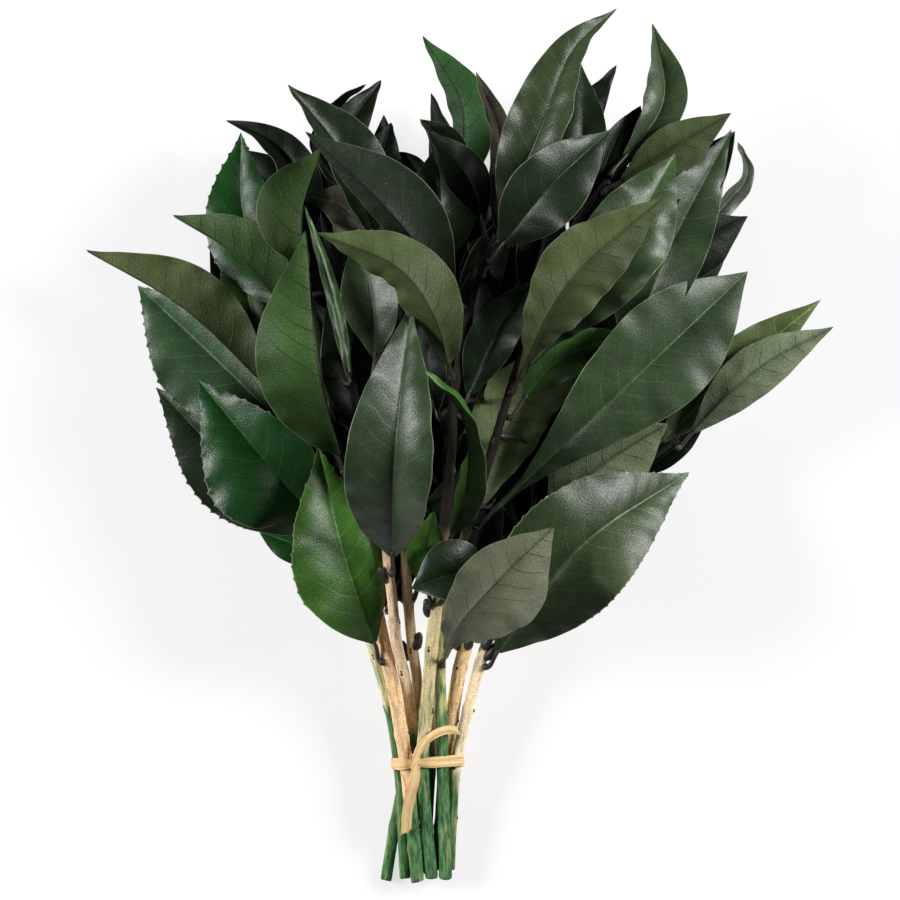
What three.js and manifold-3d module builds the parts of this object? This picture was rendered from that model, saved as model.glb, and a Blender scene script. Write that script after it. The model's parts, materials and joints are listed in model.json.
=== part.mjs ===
// Bunch of preserved osmanthus: nine cut stems, their leaves, and the raffia strip that ties them.
// The bunch lies on its back on a table: X runs across it, Y from the cut ends to the leaf tips, Z is up.
// Lengths are millimetres. Points are given from the axis of the bunch at the level of the cut ends and
// on the table top; the finished group is then moved so that its origin is at the bottom centre.
import * as THREE from "three";
import { mergeVertices } from "three/addons/utils/BufferGeometryUtils.js";
import Module from "manifold-3d";

const GAP = 0.35; // clearance left between pieces that touch
const SIDES = 8; // points round every section

const LEAF_THICKNESS = 0.6;
const MIDRIB_DEPTH = 0.6; // how far the midrib stands out below the blade
const PETIOLE_RADIUS = 0.9;
const PETIOLE_LENGTH = 9;
const BLADE_STATIONS = [0, 0.1, 0.22, 0.36, 0.5, 0.64, 0.77, 0.88, 0.95];
const BLADE_START_WIDTH = 2.4;

const STEM_STEP = 17; // length of one section of a stem
const WAIST = 0.4; // the share of a stem's length at which its leaves begin and it starts to thin

const TIE_HEIGHT = 48; // how far up the stems the raffia is tied
const RAFFIA_WIDTH = 5.4;
const RAFFIA_THICKNESS = 0.9;
const TAIL_WIDTH = 3.6;
const TAIL_STEPS = 14;
const BAND_CORNERS = 24; // points round each corner of the band
const BAND_TOLERANCE = 0.05;
const LEAN = 1.05; // a level cut through a leaning stem is wider than the stem by this much

const MATERIALS = {
  dark: new THREE.MeshStandardMaterial({ color: 0x1f3a2a, roughness: 0.42 }),
  green: new THREE.MeshStandardMaterial({ color: 0x2f5f24, roughness: 0.5 }),
  olive: new THREE.MeshStandardMaterial({ color: 0x5c6b3e, roughness: 0.7 }),
  grey: new THREE.MeshStandardMaterial({ color: 0x4c5550, roughness: 0.5 }),
  bark: new THREE.MeshStandardMaterial({ color: 0xb59468, roughness: 0.85 }),
  raffia: new THREE.MeshStandardMaterial({ color: 0xe3c07c, roughness: 0.7 }),
};

// Each stem: its route from the cut end up into the leaves, its radius at the cut end, at the first
// leaves and at the top, and its leaves. A leaf grows from the stem at the level "at" and its midrib
// runs through the points of "path", the last of which is its tip. Roll turns the blade about its
// midrib: 0 shows its upper side, 180 its underside, and more than 0 turns the face to the right.
// Twist is the extra roll that the tip has over the base, and fold is how far each half is raised from
// flat. The halves are the greatest widths left and right of the midrib, and widest is where along the
// blade they lie.
const STEMS = {
  stem_1: {
    radii: [2.2, 2.1, 1.2],
    route: [
      [-8.7, 2, 6.8], [-11.2, 48, 13.6], [-15.7, 75, 19.5], [-23, 100, 25], [-34, 132, 29],
      [-47, 168, 32], [-58, 205, 34],
    ],
    leaves: [
      {
        at: 138, path: [[-75, 166, 9], [-110.5, 202, 0.8]],
        halves: [19, 19], roll: -6, fold: 8, tone: "dark",
      },
      {
        at: 146, path: [[-67, 175, 42], [-92, 205, 37]],
        halves: [26.5, 19], widest: 0.35, roll: -4, tone: "green",
      },
      { at: 184, path: [[-87, 215, 24], [-117, 243, 18]], halves: [24, 20], roll: -8, tone: "dark" },
      {
        at: 198, path: [[-97, 234, 45], [-137, 257, 34]],
        halves: [17, 17], roll: 112, fold: 66, tone: "olive",
      },
      { at: 203, path: [[-72, 237, 20], [-77.5, 271, 12]], halves: [11, 13], roll: -10, tone: "dark" },
    ],
  },
  stem_2: {
    radii: [2.7, 2.8, 1.3],
    route: [
      [-3.6, 1, 8.8], [-8, 48, 19.5], [-12.3, 75, 25], [-17.5, 100, 30], [-25, 135, 37],
      [-33, 170, 45], [-42, 215, 52], [-49, 250, 54],
    ],
    leaves: [
      {
        at: 92, path: [[-32, 132, 46.9], [-43.2, 178, 48]],
        halves: [23.5, 15], widest: 0.44, roll: 18, tone: "green",
      },
      {
        at: 168, path: [[-43, 210, 73], [-48, 264, 66]],
        halves: [16, 24], widest: 0.45, roll: 222, fold: 42, tone: "green",
      },
      {
        at: 222, path: [[-75, 254, 50], [-102, 271, 36]],
        halves: [15, 15], roll: 120, fold: 60, tone: "olive",
      },
      { at: 226, path: [[-73, 268, 30], [-75, 305, 24]], halves: [17, 16], roll: -8, tone: "green" },
      {
        at: 241, path: [[-50, 268, 62], [-42, 297, 56]],
        halves: [20, 18], roll: 236, fold: 56, tone: "green",
      },
      {
        at: 246, path: [[-53, 290.5, 33], [-66, 303.5, 31], [-81, 309.5, 28]],
        halves: [9, 9], roll: 20, fold: 25, tone: "olive",
      },
    ],
  },
  stem_3: {
    radii: [2.4, 2.2, 1.1],
    route: [
      [-6.1, 5, 2.6], [-5, 48, 13], [-6.9, 75, 21], [-12, 100, 34], [-13.6, 116, 40],
      [-15.6, 135, 47.8], [-18, 170, 57], [-19, 205, 62], [-17, 225, 64], [-10, 243, 66],
    ],
    leaves: [
      {
        at: 128, path: [[-12, 178, 89], [-5.5, 236, 81]],
        halves: [20, 17], widest: 0.42, roll: -12, fold: 22, tone: "grey",
      },
      {
        at: 165, path: [[-28.5, 205, 53], [-38.5, 243, 47]],
        halves: [13, 13], roll: 10, fold: 18, tone: "dark",
      },
      { at: 205, path: [[-21, 232, 71], [-27, 265, 68]], halves: [12, 12], roll: -10, tone: "grey" },
    ],
  },
  stem_4: {
    radii: [2.3, 2.1, 1.1],
    route: [
      [-16.5, 1, 2.4], [-12.4, 26, 3.6], [-8, 48, 8], [-3.5, 75, 16], [-6, 100, 23],
      [-8.5, 135, 31], [-9.5, 170, 39], [-10, 205, 46], [-16, 245, 50], [-24, 280, 50],
    ],
    leaves: [
      { at: 245, path: [[-31, 272, 54], [-47, 278.5, 55]], halves: [11, 11], roll: 10, tone: "grey" },
      {
        at: 255, path: [[-32, 292, 74], [-55, 322, 62]],
        halves: [7, 15], widest: 0.42, roll: 15, fold: 20, tone: "dark",
      },
      {
        at: 268, path: [[-44, 301, 38], [-36, 316, 37], [-24, 323.5, 36]],
        halves: [5, 6], roll: 40, fold: 20, tone: "dark",
      },
      { at: 272, path: [[-18, 292, 44], [-14, 308, 40]], halves: [7, 7], roll: 10, tone: "dark" },
      { at: 278, path: [[-31, 303, 50], [-18, 325, 42]], halves: [7, 7], roll: 0, tone: "dark" },
    ],
  },
  stem_5: {
    radii: [2.6, 2.6, 1.2],
    route: [
      [2.1, 2.5, 8.4], [-1.6, 48, 19.4], [0.4, 75, 26], [2.5, 100, 34], [4.5, 118, 39],
      [7, 140, 46], [10, 175, 56], [12, 205, 62], [20, 242, 68], [28, 262, 72],
    ],
    leaves: [
      { at: 114, path: [[0, 134, 50], [3, 152, 57]], halves: [8, 8], roll: 190, tone: "green" },
      {
        at: 138, path: [[17, 163, 69], [15, 190, 78], [-3, 210, 86]],
        halves: [9, 12], widest: 0.38, roll: 150, twist: -90, fold: 20, tone: "green",
      },
      { at: 190, path: [[27, 222, 66], [46, 246, 66]], halves: [10, 10], roll: 0, tone: "dark" },
      {
        at: 205, path: [[3, 230, 91], [-10, 247.5, 97.5], [-43, 262, 92]],
        halves: [15, 15], roll: 160, fold: 30, tone: "olive",
      },
      {
        at: 232, path: [[-12, 268, 90], [-47.5, 302, 86]],
        halves: [18, 8], roll: 165, fold: 20, tone: "dark",
      },
      { at: 252, path: [[47, 278, 88], [73, 303, 80]], halves: [15, 15], roll: 10, tone: "grey" },
      { at: 258, path: [[17, 284, 62], [1, 304, 58]], halves: [9, 9], roll: 0, tone: "dark" },
      {
        at: 260, path: [[46, 305, 76], [59, 336, 72], [76, 352, 66]],
        halves: [14, 10.5], widest: 0.4, roll: -20, fold: 22, tone: "grey",
      },
    ],
  },
  stem_6: {
    radii: [2.7, 2, 1.2],
    route: [
      [7.7, 2.5, 8.2], [6.6, 48, 18], [6, 75, 24.5], [5.8, 96, 27], [9, 120, 32],
      [17, 146, 40], [26, 175, 48], [36, 208, 54], [48, 245, 60], [62, 270, 60],
      [76, 290, 54],
    ],
    leaves: [
      {
        at: 90, path: [[13, 106, 62], [30, 126, 76], [51, 146, 72]],
        halves: [20, 14], widest: 0.62, roll: 180, fold: 8, tone: "grey",
      },
      { at: 144, path: [[37, 192, 40], [72, 219, 42]], halves: [14, 18], roll: 185, tone: "olive" },
      {
        at: 146, path: [[76, 198, 58], [129, 248, 46]],
        halves: [22.5, 22], widest: 0.66, roll: 8, fold: 8, tone: "grey",
      },
      { at: 190, path: [[54, 213, 52], [82.5, 224, 47]], halves: [9, 9], roll: 10, tone: "dark" },
      {
        at: 200, path: [[57, 243, 98], [94, 276, 92]],
        halves: [15, 15], widest: 0.58, roll: 180, tone: "olive",
      },
      {
        at: 206, path: [[73, 250, 84], [99, 294, 74]],
        halves: [17, 17], widest: 0.6, roll: 0, fold: 10, tone: "grey",
      },
      { at: 262, path: [[62, 300, 60], [62, 331, 50]], halves: [10, 10], roll: 5, tone: "dark" },
      { at: 268, path: [[61, 304, 48], [76.5, 331, 42]], halves: [8, 8], roll: 10, tone: "dark" },
      { at: 280, path: [[100, 298, 58], [122, 311, 54]], halves: [12, 9], roll: 185, tone: "olive" },
      {
        at: 286, path: [[95, 316, 48], [91, 348, 38]],
        halves: [9.5, 9.5], roll: 20, fold: 30, tone: "grey",
      },
    ],
  },
  stem_7: {
    radii: [2.4, 2.9, 1.1],
    route: [
      [4.6, 5, 2.7], [7.6, 48, 11.6], [12, 78, 18.5], [16.5, 100, 26], [25, 120, 32],
      [40, 143, 39], [62, 160, 38], [84, 170, 39], [97, 177, 43], [102, 182, 44],
    ],
    leaves: [
      {
        at: 122, path: [[12, 127, 55.5], [-6, 121, 56]],
        halves: [14, 14], roll: 20, fold: 20, tone: "dark",
      },
      {
        at: 146, path: [[69, 169, 45.5], [97, 187, 44]],
        halves: [19, 20], roll: 180, fold: 8, tone: "olive",
      },
      { at: 172, path: [[130, 213, 34], [159, 237, 36]], halves: [13, 11], roll: 0, tone: "grey" },
      { at: 179, path: [[133, 209, 48], [164, 226, 36]], halves: [10.5, 10.5], roll: 180, tone: "olive" },
    ],
  },
  stem_8: {
    radii: [2.1, 2.4, 1.1],
    route: [
      [9.5, 6, 2.4], [12, 48, 15.5], [18, 75, 20], [25, 100, 25.5], [37, 125, 28],
      [55, 155, 30], [72, 190, 34], [84, 215, 36], [95, 245, 37], [103, 268, 36],
    ],
    leaves: [
      { at: 90, path: [[62, 138, 57], [106, 167.5, 34]], halves: [25.5, 24], roll: 5, fold: 8, tone: "grey" },
      {
        at: 203, path: [[95, 252, 52], [122.5, 305, 46]],
        halves: [17, 15], roll: 5, fold: 10, tone: "grey",
      },
      {
        at: 213, path: [[104, 243, 19], [127, 272, 0.4]],
        halves: [15, 10], roll: 0, fold: 10, tone: "dark",
      },
      { at: 235, path: [[110, 258, 44], [129.5, 270.5, 36]], halves: [11, 11], roll: 180, tone: "olive" },
      {
        at: 255, path: [[122, 277, 27], [130, 288, 24], [126, 301, 22]],
        halves: [4.5, 4.5], roll: 20, fold: 20, tone: "grey",
      },
    ],
  },
  stem_9: {
    radii: [2.5, 2.2, 1.1],
    route: [
      [-0.8, 4, 2.7], [1.5, 48, 12.6], [3.5, 75, 17], [5, 100, 20.5], [8, 135, 26],
      [11, 170, 30], [10, 205, 34], [8, 245, 35], [6, 275, 34],
    ],
    leaves: [
      { at: 245, path: [[6, 272, 54], [5, 300, 48]], halves: [14, 14], roll: 0, tone: "dark" },
      { at: 262, path: [[-5, 290, 40], [-16, 297, 36]], halves: [5, 5], roll: 0, tone: "dark" },
      {
        at: 268, path: [[15, 312, 38], [-1.5, 343.5, 32]],
        halves: [12, 8.5], roll: 160, fold: 25, tone: "green",
      },
      { at: 272, path: [[8, 298, 44], [-2.5, 309, 46]], halves: [7, 9], roll: 0, fold: 25, tone: "dark" },
    ],
  },
};

// The strip's two ends beyond the knot: one arcs over to the right, the other hangs down the stems.
const KNOT = { centre: [-4.4, 50, 24.2], radii: [3.4, 3, 1.9] };
const TAIL_UP = [[-5, 50, 25], [-1.5, 57, 26], [4, 61.5, 26.6], [9, 63, 25], [13, 62.5, 22.5]];
const TAIL_DOWN = [[-4, 50, 25], [-5.2, 42, 24.2], [-6.8, 32, 21], [-8.2, 21, 17.4]];

const wasm = await Module();
wasm.setup();

const vector = ([x, y, z]) => new THREE.Vector3(x, y, z);
const curveThrough = (points) => new THREE.CatmullRomCurve3(points, false, "centripetal");

// Axes across a curve: side is horizontal and to the right of the way it runs, up completes the set.
function axesAt(curve, u) {
  const along = curve.getTangentAt(u);
  const side = new THREE.Vector3().crossVectors(along, new THREE.Vector3(0, 0, 1)).normalize();
  const up = new THREE.Vector3().crossVectors(side, along);
  return { centre: curve.getPointAt(u), along, side, up };
}

// A closed skin over sections of equal numbers of points, brought to a point at both ends.
function loft(rings, start, end) {
  const points = [start, ...rings.flat(), end];
  const at = (ring, side) => 1 + ring * SIDES + (side % SIDES);
  const last = rings.length - 1;
  const index = [];
  for (let side = 0; side < SIDES; side++) {
    index.push(0, at(0, side + 1), at(0, side));
    for (let ring = 0; ring < last; ring++) {
      index.push(at(ring, side), at(ring, side + 1), at(ring + 1, side + 1));
      index.push(at(ring, side), at(ring + 1, side + 1), at(ring + 1, side));
    }
    index.push(at(last, side), at(last, side + 1), points.length - 1);
  }
  const geometry = new THREE.BufferGeometry().setFromPoints(points);
  geometry.setIndex(index);
  geometry.computeVertexNormals();
  return geometry;
}

// A round section, starting at its top and running towards its right-hand side.
function roundSection({ centre, side, up }, radius) {
  return Array.from({ length: SIDES }, (_, k) => {
    const angle = (k / SIDES) * 2 * Math.PI;
    const outward = side.clone().multiplyScalar(Math.sin(angle)).addScaledVector(up, Math.cos(angle));
    return centre.clone().addScaledVector(outward, radius);
  });
}

function radiusAt([butt, waist, tip], share) {
  if (share < WAIST) return THREE.MathUtils.lerp(butt, waist, share / WAIST);
  return THREE.MathUtils.lerp(waist, tip, (share - WAIST) / (1 - WAIST));
}

function stemGeometry(curve, radii) {
  const steps = Math.round(curve.getLength() / STEM_STEP);
  const rings = Array.from({ length: steps + 1 }, (_, k) =>
    roundSection(axesAt(curve, k / steps), radiusAt(radii, k / steps)),
  );
  return loft(rings, curve.getPointAt(0), curve.getPointAt(1));
}

// Where a stem passes a level, as a share of its length; every stem climbs all the way.
function shareAtLevel(curve, level) {
  let [low, high] = [0, 1];
  while (high - low > 1e-4) {
    const middle = (low + high) / 2;
    if (curve.getPointAt(middle).y < level) low = middle;
    else high = middle;
  }
  return low;
}

// The blade's width as a share of its greatest width, from its base at 0 to its tip at 1.
function outline(station, widest) {
  const arch = Math.sin(Math.PI * station ** (Math.log(0.5) / Math.log(widest)));
  return station < widest ? arch : arch ** 1.15;
}

const turn = (a, b, angle) => a.clone().multiplyScalar(Math.cos(angle)).addScaledVector(b, Math.sin(angle));

// The same axes turned about the way the curve runs.
function rolled({ centre, side, up }, roll) {
  return { centre, side: turn(side, up, -roll), up: turn(up, side, roll) };
}

// A blade's section, as its midrib and both halves: first along its upper side, then its underside.
function bladeSection({ centre, side, up }, [left, right], fold) {
  const half = (sign, width) => {
    const outward = turn(side.clone().multiplyScalar(sign), up, fold);
    const normal = turn(up, side, -sign * fold);
    const middle = centre.clone().addScaledVector(outward, width / 2);
    const margin = centre.clone().addScaledVector(outward, width);
    return { middle, margin, below: middle.clone().addScaledVector(normal, -LEAF_THICKNESS) };
  };
  const keel = centre.clone().addScaledVector(up, -LEAF_THICKNESS - MIDRIB_DEPTH);
  const a = half(1, right);
  const b = half(-1, left);
  return [centre, a.middle, a.margin, a.below, keel, b.below, b.margin, b.middle];
}

function leafGeometry(stem, { at, path, halves, widest = 0.46, roll, twist = 0, fold = 12 }) {
  const share = shareAtLevel(stem.curve, at);
  const origin = stem.curve.getPointAt(share);
  const grain = stem.curve.getTangentAt(share);
  const outward = vector(path[0]).sub(origin).projectOnPlane(grain).normalize();
  const stemRadius = radiusAt(stem.radii, share);
  const foot = origin.addScaledVector(outward, stemRadius + PETIOLE_RADIUS + GAP);
  const midrib = curveThrough([foot, ...path.map(vector)]);
  const stalk = PETIOLE_LENGTH / midrib.getLength();
  const axes = (u, station) => rolled(axesAt(midrib, u), THREE.MathUtils.degToRad(roll + twist * station));
  const petiole = [0, stalk * 0.8].map((u) => roundSection(axes(u, 0), PETIOLE_RADIUS));
  const blade = BLADE_STATIONS.map((station) => {
    return bladeSection(
      axes(stalk + (1 - stalk) * station, station),
      halves.map((half) => Math.max(half * outline(station, widest), BLADE_START_WIDTH / 2)),
      THREE.MathUtils.degToRad(fold * Math.min(1, 0.3 + station * 3)),
    );
  });
  return loft([...petiole, ...blade], midrib.getPointAt(0), midrib.getPointAt(1));
}

// The strip drawn tight round all the stems, knotted in front, with its two ends left long.
function tieGeometry(stems) {
  const levels = [TIE_HEIGHT, TIE_HEIGHT + RAFFIA_WIDTH];
  const circles = stems.flatMap(({ curve, radii }) =>
    levels.map((level) => {
      const share = shareAtLevel(curve, level);
      const { x, z } = curve.getPointAt(share);
      const radius = radiusAt(radii, share) * LEAN;
      return wasm.CrossSection.circle(radius, SIDES * 2).translate([x, -z]);
    }),
  );
  const hull = wasm.CrossSection.hull(circles);
  const outer = hull.offset(GAP + RAFFIA_THICKNESS, "Round", 2, BAND_CORNERS).simplify(BAND_TOLERANCE);
  const inner = hull.offset(GAP, "Round", 2, BAND_CORNERS);
  const band = outer.subtract(inner).extrude(RAFFIA_WIDTH).rotate([-90, 0, 0]).translate([0, TIE_HEIGHT, 0]);
  const knot = new THREE.SphereGeometry(1, 12, 8).scale(...KNOT.radii).translate(...KNOT.centre);
  const loose = [knot, tailGeometry(TAIL_UP), tailGeometry(TAIL_DOWN)].map(toManifold);
  return fromManifold(loose.reduce((whole, piece) => whole.add(piece), band));
}

// One end of the strip, lying flat.
function tailGeometry(route) {
  const [thick, wide] = [RAFFIA_THICKNESS / 2, TAIL_WIDTH / 2];
  const section = new THREE.Shape();
  section.moveTo(thick, wide).lineTo(-thick, wide).lineTo(-thick, -wide).lineTo(thick, -wide);
  const extrudePath = curveThrough(route.map(vector));
  return new THREE.ExtrudeGeometry(section, { steps: TAIL_STEPS, extrudePath });
}

function toManifold(geometry) {
  const bare = geometry.clone().deleteAttribute("normal").deleteAttribute("uv");
  const { attributes, index } = mergeVertices(bare);
  const vertProperties = attributes.position.array;
  const triVerts = new Uint32Array(index.array);
  return new wasm.Manifold(new wasm.Mesh({ numProp: 3, vertProperties, triVerts }));
}

function fromManifold(solid) {
  const { vertProperties, triVerts } = solid.getMesh();
  const geometry = new THREE.BufferGeometry();
  geometry.setAttribute("position", new THREE.BufferAttribute(vertProperties, 3));
  geometry.setIndex(Array.from(triVerts));
  geometry.computeVertexNormals();
  return geometry;
}

const bunch = new THREE.Group();

function add(name, geometry, material) {
  const mesh = new THREE.Mesh(geometry, MATERIALS[material]);
  mesh.name = name;
  bunch.add(mesh);
}

const stems = Object.entries(STEMS).map(([name, { radii, route, leaves }]) => ({
  name,
  radii,
  leaves,
  curve: curveThrough(route.map(vector)),
}));

for (const stem of stems) {
  add(stem.name, stemGeometry(stem.curve, stem.radii), "bark");
  stem.leaves.forEach((leaf, k) => add(`${stem.name}_leaf_${k + 1}`, leafGeometry(stem, leaf), leaf.tone));
}

add("raffia_tie", tieGeometry(stems), "raffia");

const bounds = new THREE.Box3().setFromObject(bunch);
const middle = bounds.getCenter(new THREE.Vector3());
bunch.position.set(-middle.x, -middle.y, -bounds.min.z);

export default bunch;
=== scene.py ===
"""A tied bunch of preserved osmanthus branches, lying on a table and seen from above."""

import json
import math

import bpy
import numpy as np
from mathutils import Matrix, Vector
from mathutils.bvhtree import BVHTree
from mathutils.geometry import convex_hull_2d


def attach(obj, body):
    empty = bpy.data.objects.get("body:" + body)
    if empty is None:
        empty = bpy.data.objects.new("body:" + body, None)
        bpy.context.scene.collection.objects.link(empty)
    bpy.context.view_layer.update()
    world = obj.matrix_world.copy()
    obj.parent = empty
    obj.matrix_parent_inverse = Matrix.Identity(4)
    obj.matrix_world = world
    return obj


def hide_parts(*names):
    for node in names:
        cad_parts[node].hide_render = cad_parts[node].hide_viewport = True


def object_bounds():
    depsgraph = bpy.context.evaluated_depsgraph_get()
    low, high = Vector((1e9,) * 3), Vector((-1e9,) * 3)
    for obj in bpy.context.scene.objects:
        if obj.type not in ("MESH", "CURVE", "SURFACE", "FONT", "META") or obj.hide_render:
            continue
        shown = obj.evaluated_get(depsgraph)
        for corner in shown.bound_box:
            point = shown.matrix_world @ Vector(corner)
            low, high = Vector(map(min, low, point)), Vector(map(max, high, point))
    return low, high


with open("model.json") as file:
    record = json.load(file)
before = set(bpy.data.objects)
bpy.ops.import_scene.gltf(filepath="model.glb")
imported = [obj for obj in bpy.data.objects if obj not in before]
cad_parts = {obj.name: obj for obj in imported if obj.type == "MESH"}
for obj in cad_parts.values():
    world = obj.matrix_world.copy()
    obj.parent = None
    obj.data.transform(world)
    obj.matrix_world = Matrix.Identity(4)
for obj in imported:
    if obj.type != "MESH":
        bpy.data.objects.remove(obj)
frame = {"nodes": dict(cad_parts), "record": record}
cad_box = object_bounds()


# --------------------------------------------------
# The stems: nine young osmanthus shoots, cut square with shears and dried. Their bark is thin, tan
# and finely fissured lengthwise, swollen where leaf pairs grew, and the dye that the cut ends stood
# in has turned it green from below.

UP = np.array([0, 0, 1.0])
BARK_SIDES = 24
BARK_STEP = 0.0012
NODE_SPACING = 0.024
SWELLING = 0.14
SWELLING_LENGTH = 0.0019
CUT_RINGS = ((0.8, 0.0005), (0.7, 0.0001), (0.12, 0))  # how far in from the bark, and how deep
# The young tip's dark brown, darkened to near black as painted shade inside the bunch.
YOUNG_BARK_AND_SHADE = "#19120d"

# Bark colour, how high the green dye has risen from the cut end, in mm, and how streaked it is above.
# stem_3, stem_4 and stem_7 have paler tans than their bark, as painted light where leaves shade them.
BARKS = {
    "stem_1": ("#e4dcb0", 74, 0.75),
    "stem_2": ("#ecc494", 34, 0.0),
    "stem_3": ("#f6d6ae", 62, 0.15),
    "stem_4": ("#d8bc98", 66, 0.5),
    "stem_5": ("#d8c698", 56, 0.9),
    "stem_6": ("#bdb57c", 72, 1.0),
    "stem_7": ("#ffdaa4", 46, 0.1),
    "stem_8": ("#f4deb8", 38, 0.1),
    "stem_9": ("#b29c7c", 50, 0.3),
}
stem_nodes = sorted(BARKS)


def rings(node):
    """A lofted CAD node's upper end, its cross-sections of eight points in turn, and its lower end."""
    mesh = frame["nodes"][node].data
    welded = {}
    number = [welded.setdefault(tuple(v.co), len(welded)) for v in mesh.vertices]
    points = np.array(list(welded))
    near = [set() for _ in points]
    for edge in mesh.edges:
        a, b = (number[k] for k in edge.vertices)
        if a != b:
            near[a].add(b)
            near[b].add(a)

    def standing_off(k):
        return round(float(np.linalg.norm(points[list(near[k])].mean(0) - points[k])), 4)

    ends = [k for k, others in enumerate(near) if len(others) == 8]
    start = max(ends, key=lambda k: (standing_off(k), points[k][1]))
    seen, levels = {start}, [{start}]
    while levels[-1]:
        levels.append(set().union(*(near[k] for k in levels[-1])) - seen)
        seen |= levels[-1]
    sections = []
    for level in levels[1:-2]:
        walk = [min(level)]
        while len(walk) < len(level):
            walk.append(min(near[walk[-1]] & level - set(walk)))
        sections.append(points[walk])
    return points[start], sections, points[min(levels[-2])]


def unit(v):
    return v / np.maximum(np.linalg.norm(v, axis=-1, keepdims=True), 1e-12)


def lengths(line):
    return np.concatenate([[0], np.cumsum(np.linalg.norm(np.diff(line, axis=0), axis=1))])


def smooth(knots, values, at):
    """Values between the knots, on a curve that bends evenly through them."""
    slopes = np.gradient(values, knots, axis=0)
    k = np.clip(np.searchsorted(knots, at, side="right") - 1, 0, len(knots) - 2)
    span = (knots[k + 1] - knots[k])[:, None]
    u = (at[:, None] - knots[k][:, None]) / span
    start, end = values[k], values[k + 1]
    out = start * (1 + 2 * u) * (1 - u) ** 2 + end * u**2 * (3 - 2 * u)
    return out + span * (slopes[k] * u * (1 - u) ** 2 - slopes[k + 1] * u**2 * (1 - u))


def directions(line, up):
    """At each point of a line, its direction, the one square to it and to up, and one square to both."""
    run = unit(np.gradient(line, axis=0))
    aside = unit(np.cross(run, up))
    return run, aside, np.cross(aside, run)


def fade(low, high, x):
    u = np.clip((x - low) / (high - low), 0, 1)
    return u * u * (3 - 2 * u)


def srgb(code, alpha=1.0):
    """A colour written as hex, as four numbers in linear light."""
    parts = [int(code[k : k + 2], 16) / 255 for k in (1, 3, 5)]
    return tuple(c / 12.92 if c <= 0.04045 else ((c + 0.055) / 1.055) ** 2.4 for c in parts) + (alpha,)


def tube_faces(count, sides):
    """Quads between rings of points that stand one after another."""
    starts = [r * sides for r in range(count - 1)]
    pairs = [(k, (k + 1) % sides) for k in range(sides)]
    return [(at + a, at + b, at + sides + b, at + sides + a) for at in starts for a, b in pairs]


def end_caps(count, sides):
    """The faces that close a tube of rings at its first and its last ring."""
    return [tuple(range(sides - 1, -1, -1)), tuple(range((count - 1) * sides, count * sides))]


def angles_round(sides):
    return np.arange(sides) * 2 * math.pi / sides


def spokes(angle, one, two):
    """At each point of a line, the directions at some angles between two that lie across it."""
    return np.cos(angle)[None, :, None] * one[:, None] + np.sin(angle)[None, :, None] * two[:, None]


def new_mesh(name, points, faces, kinds, **attributes):
    """A smooth mesh whose faces take the numbered materials, with values of its own at each point."""
    mesh = bpy.data.meshes.new(name)
    mesh.from_pydata(np.asarray(points).tolist(), [], faces)
    mesh.polygons.foreach_set("material_index", kinds)
    mesh.polygons.foreach_set("use_smooth", [True] * len(mesh.polygons))
    for key, values in attributes.items():
        kind, field = ("FLOAT_VECTOR", "vector") if len(values[0]) == 3 else ("FLOAT_COLOR", "color")
        attribute = mesh.attributes.new(key, kind, "POINT")
        attribute.data.foreach_set(field, np.asarray(values, dtype=float).ravel())
    mesh.update()
    return mesh


def add_piece(mesh, materials, slot, *stands_for):
    for material in materials:
        mesh.materials.append(material)
    piece = bpy.data.objects.new(mesh.name, mesh)
    bpy.context.scene.collection.objects.link(piece)
    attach(piece, "root")
    if stands_for:
        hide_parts(*stands_for)
    return piece


def wire(tree, node, links):
    """Gives each socket a value, or links another node's output to it."""
    for socket, value in links.items():
        if isinstance(value, bpy.types.NodeSocket):
            tree.links.new(value, node.inputs[socket])
        else:
            node.inputs[socket].default_value = value


def put(tree, kind, links=(), **settings):
    made = tree.nodes.new("ShaderNode" + kind)
    for name, value in settings.items():
        setattr(made, name, value)
    wire(tree, made, dict(links))
    return made


def new_material(name):
    material = bpy.data.materials.new(name)
    material.use_nodes = True
    tree = material.node_tree
    tree.nodes.clear()
    shader = put(tree, "BsdfPrincipled")
    put(tree, "OutputMaterial", {"Surface": shader.outputs[0]})
    return material, tree, shader


def attribute(tree, name):
    return put(tree, "Attribute", attribute_name=name).outputs


def arithmetic(tree, operation, *values):
    return put(tree, "Math", dict(enumerate(values)), operation=operation).outputs[0]


def product(tree, first, *others):
    for other in others:
        first = arithmetic(tree, "MULTIPLY", first, other)
    return first


def graded(tree, value, low, high, start=0.0, end=1.0):
    """The value's range from low to high, spread over start to end and held beyond."""
    return put(tree, "MapRange", {0: value, 1: low, 2: high, 3: start, 4: end}).outputs[0]


def scaled(tree, vector, factor):
    return put(tree, "VectorMath", {0: vector, 1: factor}, operation="MULTIPLY").outputs[0]


def mixed(tree, share, first, second):
    """The first colour, with a share of the second."""
    return put(tree, "Mix", {0: share, 6: first, 7: second}, data_type="RGBA").outputs[2]


def noise(tree, place, scale, detail, roughness=0.5):
    settings = {"Vector": place, "Scale": scale, "Detail": detail, "Roughness": roughness}
    return put(tree, "TexNoise", settings).outputs[0]


def relief(tree, shader, height, strength, depth):
    bump = put(tree, "Bump", {"Height": height, "Strength": strength, "Distance": depth})
    wire(tree, shader, {"Normal": bump.outputs[0]})


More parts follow.
